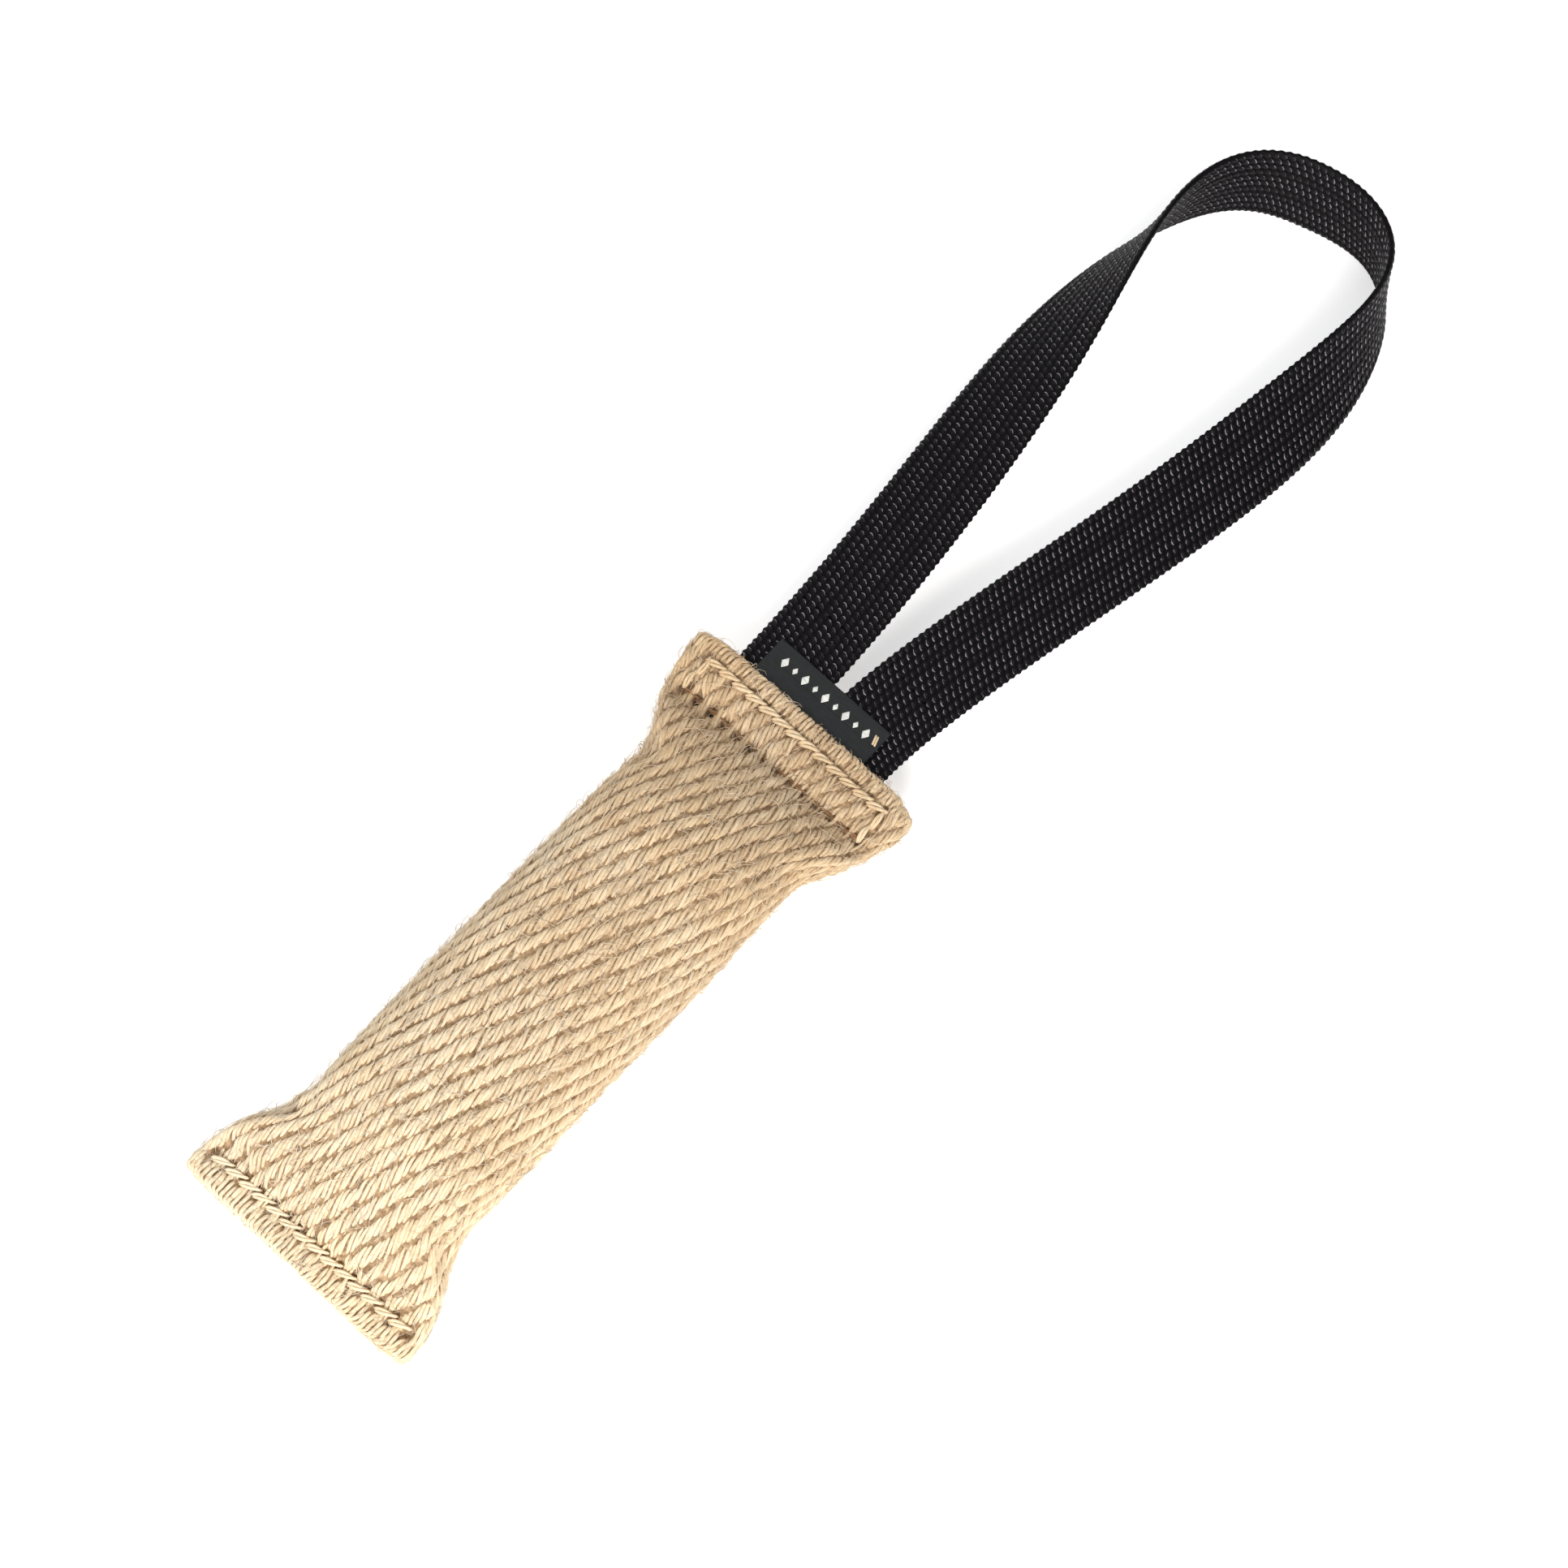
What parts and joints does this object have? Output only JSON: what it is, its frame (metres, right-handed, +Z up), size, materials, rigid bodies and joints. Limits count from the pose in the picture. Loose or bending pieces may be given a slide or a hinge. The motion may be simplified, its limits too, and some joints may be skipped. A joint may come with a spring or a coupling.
{
  "type": "training bumper",
  "caption": "Pillow-shaped stuffed jute training bumper with flat sewn ends, a flat webbing strap handle in a teardrop loop and a dark seam label.",
  "frame": {"origin": "middle of the flat patch that the pad rests on", "axes": "+Y along the pad, from its foot end to the handle; +Z up, away from the table; +X across the pad"},
  "size_m": [0.0892, 0.4241, 0.0389],
  "materials": {
    "jute": "coarse twill jute cloth, natural tan",
    "stuffing": "packed off-white fibre",
    "webbing": "black woven webbing",
    "label": "dark satin label",
    "thread": "pale cream twisted thread"
  },
  "bodies": {
    "pad": {"jute_cover": "jute", "stuffing_core": "stuffing", "side_needle_thread": "thread", "side_bobbin_thread": "thread", "head_needle_thread": "thread", "head_bobbin_thread": "thread", "foot_needle_thread": "thread", "foot_bobbin_thread": "thread", "strap_tail_left": "webbing", "strap_tail_right": "webbing", "label_tail": "label"},
    "handle_legs": {"strap_leg_left": "webbing", "strap_leg_right": "webbing"},
    "handle_loop": {"strap_loop_left": "webbing", "strap_loop_right": "webbing", "strap_turn_left": "webbing", "strap_turn_right": "webbing"},
    "label_flap": {"seam_label": "label", "label_tack_thread": "thread"}
  },
  "joints": [
    {"name": "handle_fold", "type": "hinge", "parent": "pad", "child": "handle_legs", "pos_m": [0, 0.106, 0.015], "axis": [1, 0, 0], "range_deg": [-95, 90]},
    {"name": "loop_bend", "type": "hinge", "parent": "handle_legs", "child": "handle_loop", "pos_m": [0, 0.152, 0.0147], "axis": [1, 0, 0], "range_deg": [-75, 75]},
    {"name": "label_flip", "type": "hinge", "parent": "handle_legs", "child": "label_flap", "pos_m": [0, 0.1085, 0.0167], "axis": [1, 0, 0], "range_deg": [0, 45]}
  ]
}
